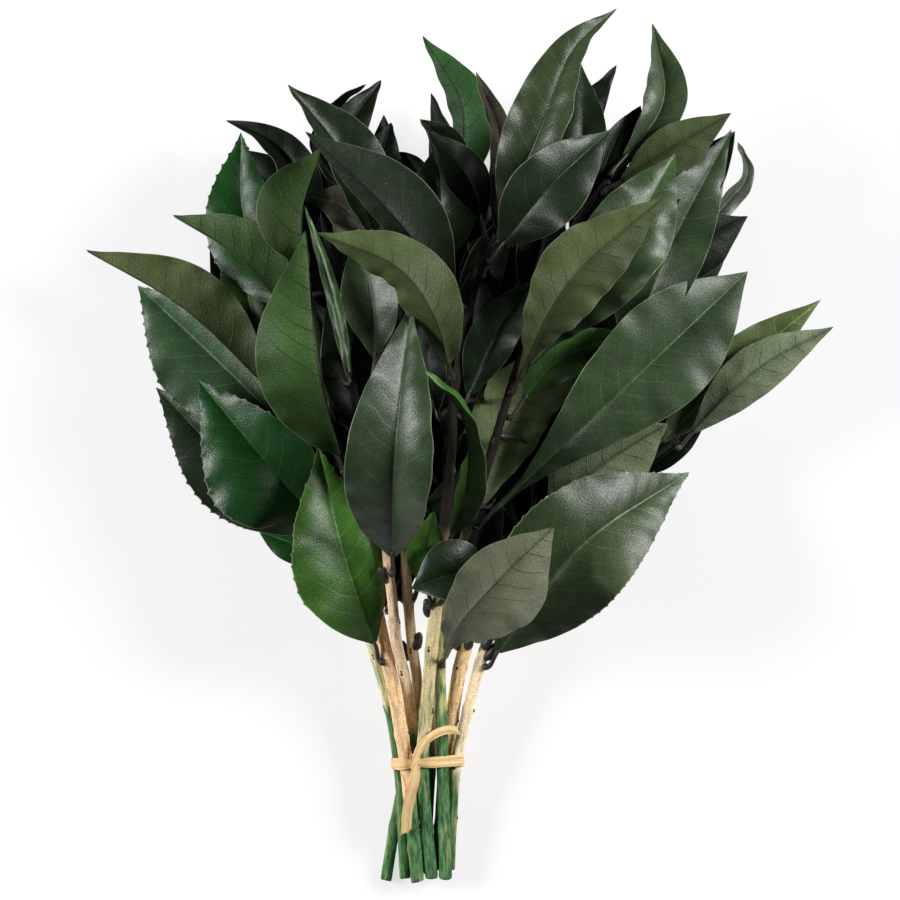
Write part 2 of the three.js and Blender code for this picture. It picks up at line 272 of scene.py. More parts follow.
# Dried bark: matt, with fissures a millimetre apart that run lengthwise, brown flecks and pale
# breathing pores. The dye shows as a deep green that ends in streaks.
bark, tree, shader = new_material("dried_shoot_bark")
place = attribute(tree, "bark_place")["Vector"]
tint = attribute(tree, "bark_tone")
along = scaled(tree, place, (1, 0.12, 0.12))
fissure = noise(tree, along, 1.1, 5.0, 0.65)
patch = noise(tree, along, 0.35, 3.0)
fine = noise(tree, place, 1.5, 4.0, 0.7)
cracked = graded(tree, fissure, 0.36, 0.5, 0.6, 1.06)
patchy = graded(tree, patch, 0.3, 0.7, 0.84, 1.16)
speckled = graded(tree, fine, 0.36, 0.58, 0.7, 1.2)
dry = scaled(tree, tint["Color"], product(tree, cracked, patchy, speckled))
pore = put(tree, "TexVoronoi", {"Vector": place, "Scale": 0.42}).outputs["Distance"]
dotted = mixed(tree, graded(tree, pore, 0.1, 0.17, 0.8, 0.0), dry, scaled(tree, dry, (1.5, 1.5, 1.5)))
# The third part of the place is how far below the dye's upper edge, in mm, a point lies.
sunk = put(tree, "SeparateXYZ", {0: place}).outputs[2]
soaked = graded(tree, arithmetic(tree, "MULTIPLY_ADD", patch, 34.0, sunk), 13.0, 21.0)
streak = graded(tree, patch, 0.47, 0.58)
streaked = product(tree, streak, tint["Alpha"], graded(tree, sunk, -75.0, -5.0))
green = mixed(tree, graded(tree, fissure, 0.33, 0.62), srgb("#173a22"), srgb("#5e9058"))
green = mixed(tree, graded(tree, patch, 0.56, 0.66, 0.0, 0.6), green, srgb("#a9a878"))
coloured = mixed(tree, arithmetic(tree, "MAXIMUM", soaked, streaked), dotted, green)
wire(tree, shader, {"Base Color": coloured, "Roughness": 0.72, "Specular IOR Level": 0.25})
relief(tree, shader, arithmetic(tree, "MULTIPLY_ADD", fine, 0.5, fissure), 0.8, 0.0005)

# The cut ends: matt, open-grained wood that soaked up the dye unevenly.
cut_wood, tree, shader = new_material("sheared_wood_end")
place = attribute(tree, "bark_place")["Vector"]
wood_green = mixed(tree, noise(tree, place, 1.4, 4.0), srgb("#1f4a2c"), srgb("#8ba872"))
wire(tree, shader, {"Base Color": wood_green, "Roughness": 0.85})

# Leaf scars, buds and leaf stalks dry brown-black, with a dull shine on their wrinkles.
dry_stalk, tree, shader = new_material("dried_stalk_and_bud")
wrinkle = noise(tree, put(tree, "NewGeometry").outputs["Position"], 1300.0, 3.0)
brown_black = mixed(tree, wrinkle, srgb("#0d0c0b"), srgb("#3a352d"))
wire(tree, shader, {"Base Color": brown_black, "Roughness": 0.5})
relief(tree, shader, wrinkle, 0.5, 0.0002)


def swept_tube(line, radii, sides=12, wrinkle=0.0):
    """A round, wrinkled tube along a line, closed at both ends."""
    _, aside, above = directions(line, [0.31, 0.12, 0.94])
    angle = angles_round(sides)
    swell = 1 + wrinkle * np.cos(3 * angle[None] + 1.7 * np.arange(len(line))[:, None])
    points = line[:, None] + spokes(angle, above, aside) * (swell * radii[:, None])[..., None]
    return points.reshape(-1, 3), tube_faces(len(line), sides) + end_caps(len(line), sides)


def joined(parts):
    """Several closed shells as the points and faces of one mesh."""
    points, faces, first = [], [], 0
    for some_points, some_faces in parts:
        points.append(some_points)
        faces += [tuple(first + k for k in face) for face in some_faces]
        first += len(some_points)
    return np.concatenate(points), faces


class Stem:
    """A stem's centre line and thickness, and the places along it where leaf pairs grow."""

    def __init__(self, node, dice):
        _, sections, _ = rings(node)
        sections = sections[::-1]
        self.centres = np.array([s.mean(0) for s in sections])
        self.radii = np.array([np.linalg.norm(s - s.mean(0), axis=1).mean() for s in sections])
        self.marks = lengths(self.centres)
        self.length = self.marks[-1]
        feet = [rings(leaf)[2] for leaf in frame["nodes"] if leaf.startswith(node + "_leaf_")]
        self.leaves = [(self.nearest(p), self.azimuth(p)) for p in feet]
        self.nodes = []
        for at in sorted(s for s, _ in self.leaves):
            if not self.nodes or at - self.nodes[-1] > 0.006:
                self.nodes.append(at)
        at = 0.012 + dice.uniform(0, 0.012)
        while at < self.length - 0.008:
            if all(abs(at - other) > 0.011 for other in self.nodes):
                self.nodes.append(at)
            at += NODE_SPACING * dice.uniform(0.85, 1.15)
        self.nodes.sort()

    def at(self, s):
        s = np.atleast_1d(s)
        centre = smooth(self.marks, self.centres, s)
        radius = smooth(self.marks, self.radii[:, None], s)[:, 0]
        return centre, radius

    def axes(self, s):
        """At a place along the stem: its direction, and two directions across it."""
        centre, _ = self.at(np.array([s - 0.002, s + 0.002]))
        return [way[0] for way in directions(centre, UP)]

    def nearest(self, point):
        s = np.linspace(0, self.length, 400)
        return s[np.argmin(np.linalg.norm(self.at(s)[0] - point, axis=1))]

    def azimuth(self, point):
        s = self.nearest(point)
        _, aside, above = self.axes(s)
        out = point - self.at(s)[0][0]
        return math.atan2(out @ above, out @ aside)

    def out(self, s, angle):
        """The point on the bark at an angle round the stem, and the direction away from the stem."""
        centre, radius = self.at(s)
        _, aside, above = self.axes(s)
        away = math.cos(angle) * aside + math.sin(angle) * above
        return centre[0] + away * radius[0], away


def pair_angle(stem, index):
    """Leaf pairs stand crosswise, each pair a quarter turn on from the last."""
    here = stem.nodes[index]
    own = [angle for s, angle in stem.leaves if abs(s - here) < 0.007]
    return own[0] if own else index * math.pi / 2 + 0.4


stems = {}
for number, node in enumerate(stem_nodes):
    dice = np.random.default_rng(10 + number)
    stem = stems[node] = Stem(node, dice)
    tan, dye, streaks = BARKS[node]
    s = np.arange(0, stem.length, BARK_STEP)
    centre, radius = stem.at(s)
    run, aside, above = directions(centre, UP)
    angle = angles_round(BARK_SIDES)
    shape = np.ones((len(s), BARK_SIDES))
    for index, at in enumerate(stem.nodes):
        turn = pair_angle(stem, index)
        lobes = 0.65 + 0.35 * np.cos(2 * (angle - turn))
        shape += SWELLING * np.exp(-(((s - at) / SWELLING_LENGTH) ** 2))[:, None] * lobes[None]
        # A low ridge runs down from each leaf of the pair to the pair below.
        ridge = fade(at - 0.022, at - 0.001, s) * (s < at)
        shape += 0.05 * ridge[:, None] * np.maximum(0, np.cos(2 * (angle - turn)))[None] ** 6
    ripple = dice.uniform(0, 6.28, 3)
    shape += 0.018 * np.cos(5 * angle[None] + 180 * s[:, None] + ripple[0])
    shape += 0.012 * np.cos(9 * angle[None] - 260 * s[:, None] + ripple[1])
    shape *= (1 - 0.78 * fade(stem.length - 0.005, stem.length, s) ** 1.5)[:, None]
    shape[0] *= 0.94
    tube = centre[:, None] + spokes(angle, aside, above) * (radius[:, None] * shape)[..., None]
    # The shears leave each end a little off square.
    lean = dice.uniform(-0.3, 0.3, 2)
    for row in range(3):
        slope = (tube[row] - centre[row]) @ (lean[0] * aside[row] + lean[1] * above[row])
        tube[row] += run[row] * slope[:, None] * (1 - row / 3)
        tube[row, :, 2] = np.maximum(tube[row, :, 2], 0.0003)
    # The cut face is three more rings: a bevel, the flat wood and the sunken pith.
    cut_face = [tube[0] + (centre[0] - tube[0]) * share + run[0] * sink for share, sink in CUT_RINGS]
    points = np.concatenate([*cut_face, *tube])
    count = len(s) + len(CUT_RINGS)
    faces = tube_faces(count, BARK_SIDES)
    on_cut = len(CUT_RINGS) * BARK_SIDES
    kinds = [1] * on_cut + [0] * (len(faces) - on_cut) + [1, 0]
    faces += end_caps(count, BARK_SIDES)
    rounds = np.concatenate([[0] * len(CUT_RINGS), s])[:, None] * np.ones(BARK_SIDES)
    place = np.stack([
        np.cos(angle)[None] * 3 * np.ones_like(rounds),
        rounds * 1000 + number * 400,
        dye - rounds * 1000,
    ], axis=-1).reshape(-1, 3)
    place[:, 0] += np.tile(np.sin(angle), count) * 0.9
    # Towards the tip the shoot is younger, thinner-skinned and dries dark brown, and there it is darkened
    # further, to near black, as painted shade inside the bunch.
    young = fade(0.125, 0.152, rounds.reshape(-1, 1))
    tone = np.array(srgb(tan, streaks)) * (1 - young) + np.array(srgb(YOUNG_BARK_AND_SHADE, 0.0)) * young
    mesh = new_mesh(node + "_bark", points, faces, kinds, bark_place=place, bark_tone=tone)
    add_piece(mesh, (bark, cut_wood), "bark", node)


# --------------------------------------------------
# Buds, leaf scars and bare stalks: what is left at each swelling of a stem. A fallen leaf leaves a
# small black pad with a bud over it, and a few leaves leave their whole hooked stalk.

TABLE_GAP = 0.0012  # nothing that grows on a stem comes nearer to the table
BARE_STALK_RADII = np.array([1.4, 1.9, 2.0, 1.85, 1.65, 1.5, 1.4, 1.3, 0.8]) * 0.001

# By the stem's number: how far from its cut end, in mm, bare stalks stand, and which way each points,
# in degrees.
BARE_STALKS = {
    3: [(127, 160)],
    4: [(94, 200), (99, 40)],
    5: [(111, 170), (117, 60)],
    6: [(109, 10)],
    7: [(94, 150), (96, 60)],
    8: [(91, 20), (95, 80)],
    9: [(90, 10)],
}


def pad(point, away, run, size):
    """A small rounded bump that stands on the bark, drawn out towards the stem's tip."""
    rows, sides = 5, 10
    across = unit(np.cross(away, run))
    angle = angles_round(sides)
    ring = np.cos(angle)[:, None] * run * 1.3 + np.sin(angle)[:, None] * across
    points = []
    for row in range(rows):
        climb = row / rows * math.pi / 2
        top = away * (math.sin(climb) - 0.35) + run * 0.5 * math.sin(climb)
        points.append(point + size * (top + ring * math.cos(climb)))
    return np.concatenate(points), tube_faces(rows, sides) + end_caps(rows, sides)


for number, node in enumerate(stem_nodes):
    dice = np.random.default_rng(40 + number)
    stem, parts = stems[node], []
    for index, at in enumerate(stem.nodes):
        run = stem.axes(at)[0]
        first = pair_angle(stem, index)
        for turn in (first, first + math.pi):
            point, away = stem.out(at, turn)
            if point[2] < TABLE_GAP:
                continue
            parts.append(pad(point, away, run, 0.00075 * dice.uniform(0.8, 1.25)))
            if dice.random() < 0.55:
                parts.append(pad(point + run * 0.0014, away, run, 0.00055))
    for at, turn in BARE_STALKS.get(number + 1, []):
        at /= 1000
        run = stem.axes(at)[0]
        point, away = stem.out(at, math.radians(turn))
        reach = dice.uniform(0.0065, 0.009)
        s = np.linspace(0, 1, 9)[:, None]
        side = unit(np.cross(away, run))
        line = point - away * 0.0004 + away * 0.0042 * (s - 0.5 * s**2) + run * reach * s
        line = line + side * 0.0008 * np.sin(3 * s + dice.uniform(0, 3))
        line[:, 2] = np.maximum(line[:, 2], 0.0016)
        parts.append(swept_tube(line, BARE_STALK_RADII, wrinkle=0.05))
    points, faces = joined(parts)
    add_piece(new_mesh(node + "_buds", points, faces, [0] * len(faces)), (dry_stalk,), "bark")


# --------------------------------------------------
# The leaf: a thick, leathery evergreen blade on a short stalk, softened in glycerine and dyed.
# It is widest near its middle and drawn out to a point. The midrib is sunk into the upper side
# and stands out below, and the side veins pull the blade into shallow pleats.

BLADE_THICKNESS = 0.00038
MIDRIB_WIDTH = 0.0007
PLEAT_SPACING = 0.0085
PLEAT_HEIGHT = 0.00007
CAMBER = 0.24
VEIN_LEAN = 0.62  # how far a side vein runs on towards the tip for each step away from the midrib
VEIN_BEND = 14.0  # and how much more, for each metre of that step squared
TOOTH_PITCH = 0.0042
STALK_RADII = np.array([1.5, 1.35, 1.1, 0.95, 0.88, 0.84, 0.8, 0.7, 0.5]) * 0.001

# Where the blade's points lie from the midrib, at 0, to the margin, at 1.
ACROSS_FINE = np.array([0, 0.035, 0.1, 0.2, 0.32, 0.45, 0.58, 0.71, 0.83, 0.92, 0.98, 1])
ACROSS_PLAIN = np.array([0, 0.06, 0.2, 0.4, 0.62, 0.84, 0.96, 1])


def leaf_lines(node):
    """The midrib and both margins of a CAD leaf's blade, from base to tip, and its stalk's line."""
    tip, sections, foot = rings(node)
    sections = sections[::-1]
    stalk = np.array([foot] + [s.mean(0) for s in sections[:2]])
    stalk[0] -= unit(stalk[1] - stalk[0]) * 0.0011
    blade = []
    for section in sections[2:]:
        spread = [np.linalg.norm(section[k] - section[k + 4]) for k in range(4)]
        blade.append(np.roll(section, -int(np.argmax(spread)), axis=0))
    widest = max(range(len(blade)), key=lambda k: np.linalg.norm(blade[k][0] - blade[k][4]))

    def sunk(section, k):
        return np.linalg.norm(section[k] - (section[k - 1] + section[k + 1]) / 2)

    if sunk(blade[widest], 2) > sunk(blade[widest], 6):
        blade[widest] = np.roll(blade[widest], 4, axis=0)
    for order in (range(widest - 1, -1, -1), range(widest + 1, len(blade))):
        last = blade[widest]
        for k in order:
            if (blade[k][2] - blade[k][6]) @ (last[2] - last[6]) < 0:
                blade[k] = np.roll(blade[k], 4, axis=0)
            if (blade[k][4] - blade[k][0]) @ (last[4] - last[0]) < 0:
                blade[k] = blade[k][[4, 3, 2, 1, 0, 7, 6, 5]]
            last = blade[k]
    left, midrib, right = (np.array([s[k] for s in blade] + [tip]) for k in (0, 2, 4))
    face = blade[widest][2] - blade[widest][6]
    along = midrib[widest + 1] - midrib[widest - 1]
    if (right[widest] - left[widest]) @ np.cross(along, face) < 0:
        left, right = right, left
    return midrib, left, right, stalk


def leaf_mesh(name, lines, tints, dice, fine=True, teeth=0.0, wave=1.0, curl=(0.0, 0.0)):
    """A leaf as one mesh: its blade with an upper side, an underside and a margin, and its stalk."""
    midrib, left, right, stalk = lines
    knots = lengths(midrib)
    length = knots[-1]
    step = 0.0006 if teeth else (0.0015 if fine else 0.0028)
    at = np.linspace(0, length, int(length / step) + 2)[:-1]
    # Both s, from base to tip, and t, from midrib to margin, run from 0 to 1.
    s = (at / length)[:, None]
    spine = smooth(knots, midrib, at)
    along = unit(np.gradient(spine, axis=0))
    across = ACROSS_FINE if fine else ACROSS_PLAIN
    half = {-1: smooth(knots, left - midrib, at), 1: smooth(knots, right - midrib, at)}
    normal = {sign: unit(sign * np.cross(half[sign], along)) for sign in (-1, 1)}
    crown = unit(normal[-1] + normal[1])
    ripple = dice.uniform(0, 2 * math.pi, 6)
    sides = {}
    for sign in (-1, 1):
        width = np.linalg.norm(half[sign], axis=1)[:, None]
        t = across[None, :] * np.ones_like(s)
        x = t * width
        y = at[:, None] * np.ones_like(t)
        body = fade(0, 0.12, s) * fade(1.0, 0.86, s)
        lift = CAMBER * width * t * (1 - t) * body
        pleat = (y - VEIN_LEAN * x - VEIN_BEND * x**2) / PLEAT_SPACING
        lift += PLEAT_HEIGHT * np.cos(2 * math.pi * pleat) * fade(0, 0.2, t) * fade(1, 0.8, t) * body
        # The margin dries wavy, in long waves and short ones.
        breadth = width / 0.02
        lift += 0.0009 * wave * body * t**3 * breadth * np.sin(y / 0.0056 + ripple[1 + sign])
        lift += 0.0014 * wave * body * t**2 * breadth * np.sin(y / 0.0128 + ripple[4 + sign])
        lift += 0.00035 * wave * body * t**2 * np.sin(y / 0.0021 + ripple[2 + sign])
        # One margin rolls up and the other down, most of it halfway along.
        rolled = np.sin(math.pi * np.clip(s * 1.1 - 0.05 + 0.12 * np.sin(ripple[sign]), 0, 1))
        lift += curl[(sign + 1) // 2] * width * t**2.5 * rolled
        lift -= 0.00022 * np.exp(-((x / MIDRIB_WIDTH) ** 2)) * fade(1.0, 0.7, s)
        tooth = (y / TOOTH_PITCH + 0.3 * np.sin(y / 0.0063 + ripple[sign]) + 0.4 * sign + 0.5) % 1
        spine_end = np.clip((tooth - 0.45) / 0.45, 0, 1) ** 1.7 * (tooth < 0.92)
        reach = teeth * spine_end * fade(0.93, 1, t) * fade(0.2, 0.4, s) * fade(1.0, 0.93, s)
        reach = 1 + reach / np.maximum(width, 0.002)
        up = unit(crown[:, None] + (normal[sign] - crown)[:, None] * fade(0, 0.3, t)[..., None])
        flat = spine[:, None] + half[sign][:, None] * (t * reach)[..., None]
        sides[sign] = flat + up * lift[..., None], up, x, y, t

    def whole(k):
        return np.concatenate([sides[-1][k][:, :0:-1], sides[1][k]], axis=1)

    top, up, x, y, t = (whole(k) for k in range(5))
    ridge = (0.0007 * (1 - s) + 0.00012) * np.exp(-((x / MIDRIB_WIDTH) ** 2))
    thick = BLADE_THICKNESS * (1 - 0.6 * t**4) + ridge
    under = top - up * thick[..., None]
    count, wide = top.shape[:2]
    around = 2 * wide
    place = np.stack([x * 1000, y * 1000, t], axis=-1)
    blade = np.concatenate([top, under[:, ::-1]], axis=1).reshape(-1, 3)
    place = np.concatenate([place, place[:, ::-1]], axis=1).reshape(-1, 3)
    faces = tube_faces(count, around)
    tip, last = len(blade), (count - 1) * around
    faces += [(last + k, last + (k + 1) % around, tip) for k in range(around)]
    kinds = [0 if k % around < wide - 1 else 1 for k in range(len(faces))]
    faces.append(end_caps(count, around)[0])
    kinds.append(1)
    line = np.concatenate([stalk, spine[1:3]])
    marks = lengths(line)
    centre = smooth(marks, line, np.linspace(0, marks[-1], len(STALK_RADII)))
    tube, tube_quads = swept_tube(centre, STALK_RADII, sides=10, wrinkle=0.04)
    faces += [tuple(tip + 1 + k for k in face) for face in tube_quads]
    kinds += [2] * len(tube_quads)
    points = np.concatenate([blade, midrib[-1:], tube])
    place = np.concatenate([place, [[0, length * 1000, 0]], np.zeros((len(tube), 3))])
    tone = np.tile(tints[0], (len(points), 1))
    shades = tone[:tip].reshape(count, around, 4)
    shades[:, wide:] = tints[1]
    # Painted shade: each blade is darker towards its base, where the leaves overlap, and a little lighter
    # at the tip. Each half is lightened or darkened at random, as painted light and shade for how the
    # light falls on it.
    shades[..., :3] *= (0.55 + 0.45 * fade(0, 0.6, s) + 0.15 * fade(0.7, 1.0, s))[..., None]
    column = np.arange(around)
    first_half = np.where(column < wide, column < wide // 2, column > wide + wide // 2)
    shades[..., :3] *= np.where(first_half, dice.uniform(0.8, 1.2), dice.uniform(0.8, 1.2))[None, :, None]
    return new_mesh(name, points, faces, kinds, blade_place=place, leaf_tint=tone)


# The leaf's finish. Glycerine leaves the upper side dark and satin, with its veins a little lighter
# and the green coming through unevenly. The underside is paler, drier and matt, with a net of dark
# hairlines. Both show a few brown specks, and a thin pale line along the margin that is a painted
# highlight.
def leaf_material(name, roughness, gloss, net_depth, vein_shade, rib, cloud_shade, vein_rise, strength):
    """One side of a preserved leaf; veins and clouds darken or lighten the leaf's own dye colour."""
    material, tree, shader = new_material(name)
    place = attribute(tree, "blade_place")["Vector"]
    tint = attribute(tree, "leaf_tint")["Color"]
    x, y, t = put(tree, "SeparateXYZ", {0: place}).outputs
    wander = put(tree, "TexNoise", {"Vector": place, "Scale": 0.045, "Detail": 1.0})
    # Side veins leave the midrib every 8.5 mm and bend towards the tip.
    run_on = arithmetic(tree, "MULTIPLY_ADD", x, -VEIN_LEAN, y)
    run_on = arithmetic(tree, "MULTIPLY_ADD", product(tree, x, x), -VEIN_BEND / 1000, run_on)
    run_on = arithmetic(tree, "MULTIPLY_ADD", wander.outputs[0], 9.0, run_on)
    saw = arithmetic(tree, "PINGPONG", arithmetic(tree, "DIVIDE", run_on, PLEAT_SPACING * 1000), 0.5)
    vein = graded(tree, saw, 0.008, 0.032, 1.0, 0.0)
    side_vein = product(tree, vein, graded(tree, t, 0.9, 0.5))
    midrib = graded(tree, x, 0.25, 0.6, 1.0, 0.0)
    # The net between them has meshes of about 2 mm, drawn coarser than the real hairlines.
    bend = scaled(tree, wander.outputs["Color"], (6, 6, 0))
    warped = put(tree, "VectorMath", {0: place, 1: bend}, operation="ADD").outputs[0]
    settings = {"feature": "DISTANCE_TO_EDGE", "voronoi_dimensions": "2D"}
    net = put(tree, "TexVoronoi", {"Vector": warped, "Scale": 0.5}, **settings).outputs[0]
    net_line = product(tree, graded(tree, net, 0.01, 0.12, 1.0, 0.0), net_depth)
    veins = arithmetic(tree, "MAXIMUM", side_vein, net_line)
    # Dye takes unevenly over a centimetre or so, and a fine leathery grain shows between the veins.
    clouds = graded(tree, noise(tree, place, 0.07, 4.0, 0.6), 0.35, 0.7, 1.15, cloud_shade)
    pores = noise(tree, place, 1.6, 2.0, 0.7)
    grain = graded(tree, pores, 0.32, 0.68, 0.8, 1.2)
    vein_tone = graded(tree, veins, 0.0, 1.0, 1.0, vein_shade)
    tone = product(tree, clouds, grain, vein_tone, graded(tree, midrib, 0.0, 1.0, 1.0, rib))
    # A painted highlight: a thin pale line along the margin, where the edge catches the light.
    painted_rim_highlight = graded(tree, t, 0.975, 0.995, 0.0, 0.55)
    edged = mixed(tree, painted_rim_highlight, scaled(tree, tint, tone), srgb("#868a6c"))
    speck = put(tree, "TexVoronoi", {"Vector": place, "Scale": 0.11}).outputs["Distance"]
    flecked = mixed(tree, graded(tree, speck, 0.015, 0.06, 0.4, 0.0), edged, srgb("#8a6c3c"))
    rough = graded(tree, pores, 0.3, 0.7, roughness - 0.08, roughness + 0.1)
    # Leaves in the near-black dye stand for leaves in deep shade, so they get little shine: painted
    # shade.
    green = put(tree, "SeparateColor", {0: tint}).outputs[1]
    shine = graded(tree, green, 0.006, 0.026, gloss * 0.12, gloss)
    wire(tree, shader, {"Base Color": flecked, "Roughness": rough, "Specular IOR Level": shine})
    veins = arithmetic(tree, "MAXIMUM", veins, midrib)
    relief(tree, shader, arithmetic(tree, "MULTIPLY_ADD", veins, vein_rise, pores), strength, 0.0003)
    return material


upper_side = leaf_material(
    "glycerined_leaf_upper_side", roughness=0.34, gloss=0.42, net_depth=0.14, vein_shade=1.9, rib=1.7,
    cloud_shade=0.55, vein_rise=-0.2, strength=0.45,
)
underside = leaf_material(
    "glycerined_leaf_underside", roughness=0.46, gloss=0.26, net_depth=0.3, vein_shade=0.42, rib=0.5,
    cloud_shade=0.62, vein_rise=0.8, strength=0.8,
)
LEAF_MATERIALS = (upper_side, underside, dry_stalk)

# Each dye as the colour of a leaf's upper side and of its underside.
DYES = {
    "leaf_dark": ("#1a2a16", "#28361f"),
    "leaf_green": ("#2e5220", "#3c5c28"),
    "leaf_olive": ("#28371d", "#48552f"),
    "leaf_grey": ("#374a2e", "#4c593c"),
    # The near-black dye stands for leaves in deep shade: painted shade.
    "painted_shade_black": ("#0f180e", "#1b2717"),
    "bottle_green": ("#174518", "#285022"),
    "fresh_green": ("#3c6a24", "#386219"),
    "brown_green": ("#423f2f", "#554e3a"),
    "ashen": ("#4a5142", "#62654f"),
    "pale_olive": ("#5e6f46", "#6e7d5d"),
    # This dye is far paler than a real underside, as painted light.
    "sage_painted_light": ("#97ad6b", "#b2c684"),
    "grey_green": ("#3a5636", "#41523a"),
}

# The leaves that took another dye than their slot's, as the numbers of the stem and of the leaf.
DYED = {
    # These leaves are dyed near black as painted shade, for leaves that lie deep in the bunch.
    "painted_shade_black": "2.6 3.2 4.3 4.4 4.5 5.5 5.7 6.8 8.4 9.2",
    "bottle_green": "1.2 2.4 9.3",
    # 5.2 takes the fresh green as painted light, paler than its own dye where it lies in shadow.
    "fresh_green": "2.1 5.1 5.2",
    "pale_olive": "7.2 7.3 7.4",
    # 1.5 and 6.4 take the leaf green as painted light, paler than their own dye where they lie in shadow.
    "leaf_green": "1.5 2.3 6.4",
    "leaf_dark": "5.6",
    "brown_green": "4.1",
    "grey_green": "1.3",
    "ashen": "6.1 8.5",
    # 6.2 takes a far paler dye than its own, as painted light on a leaf that lies in shadow.
    "sage_painted_light": "6.2",
}


def dye_tints(dye, dice, depth=1.0):
    """A dye's two colours for one leaf, which took it a little more or less than the rest, and darkened
    by a depth below 1 as painted shade.
    """
    strength = depth * dice.uniform(0.86, 1.04)
    hue = np.array([dice.uniform(0.94, 1.07), 1.0, dice.uniform(0.92, 1.08), 1.0])
    return [np.array(srgb(code)) * hue * [strength, strength, strength, 1.0] for code in DYES[dye]]


# The leaves that the bunch's shape comes from. Each stands for its CAD leaf, on the same midrib and
# between the same margins. A few keep the spiny teeth of young growth along their outer half: how
# far these stand out. The most buckled leaves follow, with how wavy their margins are.

TOOTHED = {"1.1": 0.001, "1.2": 0.001, "1.3": 0.001, "2.1": 0.0008, "2.4": 0.001, "8.1": 0.0006}
WAVY = {"1.4": 2.0, "2.2": 1.6, "5.4": 1.8, "6.1": 2.4, "6.2": 2.4, "6.5": 2.6, "6.6": 2.8, "7.2": 1.8}
dye_of = {leaf: dye for dye, leaves in DYED.items() for leaf in leaves.split()}
slot_of = {part["node"]: part["material_slot"] for part in frame["record"]["subparts"]}
leaf_nodes = sorted(node for node in frame["nodes"] if "_leaf_" in node)
grown = []  # the outer leaves' lines
for number, node in enumerate(leaf_nodes):
    dice = np.random.default_rng(100 + number)
    lines = leaf_lines(node)
    grown.append(lines)
    leaf = node.removeprefix("stem_").replace("_leaf_", ".")
    tints = dye_tints(dye_of.get(leaf, slot_of[node]), dice)
    wave = WAVY.get(leaf, dice.uniform(0.7, 1.4))
    curl = dice.uniform(-0.2, 0.2, 2)
    mesh = leaf_mesh(node + "_blade", lines, tints, dice, True, TOOTHED.get(leaf, 0.0), wave, curl)
    add_piece(mesh, LEAF_MATERIALS, slot_of[node], node)


# --------------------------------------------------
# The inner leaves: the rest of each stem's leaf pairs, in the middle of the bunch and beneath it.
# They grow from the same swellings wherever there is room between the leaves above, dyed near black
# as painted shade, and close the gaps that the outer leaves leave.

CELL = 0.002
INNER_LIMIT = 0.046  # how high an inner leaf may reach where no outer leaf lies over it
LEAF_GAP = 0.001  # how far an inner leaf's sheet keeps below the outer ones and inside the box
LOWEST = 0.004  # the least height above the table at which a leaf's middle is tried
TRIES = 36
BLADE_STATIONS = np.array([0, 0.1, 0.22, 0.36, 0.5, 0.64, 0.77, 0.88, 0.95, 1])
ARCH = np.sin(math.pi * BLADE_STATIONS**0.92) ** 0.95  # a blade's half width along it, at most 1
low, high = (np.array(corner) for corner in cad_box)
axis_foot = np.array([low[0] + 0.137, low[1], 0])  # where the bunch's axis meets the cut ends' level
grid_size = np.ceil((high - low)[:2] / CELL).astype(int) + 1


def blade_points(lines, rows, columns):
    """Points spread over a leaf's blade, row by row from its base."""
    midrib, left, right = lines[:3]
    marks = lengths(midrib)
    at = np.linspace(0, marks[-1], rows)
    spine, one, two = (smooth(marks, line, at) for line in (midrib, left, right))
    share = np.linspace(-1, 1, columns)[None, :, None]
    return spine[:, None] + np.where(share < 0, (spine - one)[:, None], (two - spine)[:, None]) * share


def cells(points):
    index = np.floor((points[..., :2] - low[:2]) / CELL).astype(int)
    return tuple(np.clip(index, 0, grid_size - 1).reshape(-1, 2).T)


def shadow(lines):
    """The cells that a leaf's blade lies over."""
    under = np.zeros(grid_size, bool)
    under[cells(blade_points(lines, 60, 21))] = True
    return under


def leaf_tree(lines):
    """A blade as a plain thin sheet, without its base, waves and curl, to test what it meets."""
    points = blade_points(lines, 14, 5)[2:]
    rows, columns = points.shape[:2]
    starts = [r * columns + c for r in range(rows - 1) for c in range(columns - 1)]
    faces = [(k, k + 1, k + columns + 1, k + columns) for k in starts]
    flat = points.reshape(-1, 3)
    return BVHTree.FromPolygons(flat.tolist(), faces, epsilon=0.0003), flat.min(0), flat.max(0)


def stem_tree(stem):
    s = np.linspace(0, stem.length, 40)
    centre, radius = stem.at(s)
    points, faces = swept_tube(centre, radius, sides=8)
    return BVHTree.FromPolygons(points.tolist(), faces), points.min(0), points.max(0)


def has_room(tree, own_stem):
    """Whether a blade's plain sheet meets no sheet placed before it, and no stem but its own.

    The finished blades are wavier, so some of them still cut a neighbour."""
    mine, lowest, highest = tree
    others = placed + [wood[node] for node in stem_nodes if node != own_stem]
    for other, other_low, other_high in others:
        if (lowest < other_high).all() and (other_low < highest).all() and mine.overlap(other):
            return False
    return True


def inside_box(points):
    """Whether a blade keeps clear of the table and of the sides of the CAD's box."""
    above_table = points[..., 2].min() >= TABLE_GAP
    return above_table and (points >= low + LEAF_GAP).all() and (points <= high - LEAF_GAP).all()


def below(points, limits):
    """Whether a blade keeps below the limits of height in the cells that it crosses."""
    return (points[..., 2].ravel() <= limits[cells(points)]).all()


covered = np.zeros(grid_size, bool)
ceiling = np.zeros(grid_size)
for lines in grown:
    points = blade_points(lines, 90, 45)
    index = cells(points)
    covered[index] = True
    np.maximum.at(ceiling, index, points[..., 2].ravel())
# A cell lies inside the bunch if there are outer leaves on all four sides of it.
beside = [np.rot90(np.maximum.accumulate(np.rot90(covered, k), axis=0), -k) for k in range(4)]
inside = np.logical_and.reduce(beside)
ceiling = np.where(covered, ceiling - LEAF_GAP, INNER_LIMIT)
gap = inside & ~covered


def margins(midrib, half, across, up):
    """A blade's two margins, each half of it folded up a little from flat."""
    return midrib + half * (up - across), midrib + half * (up + across)


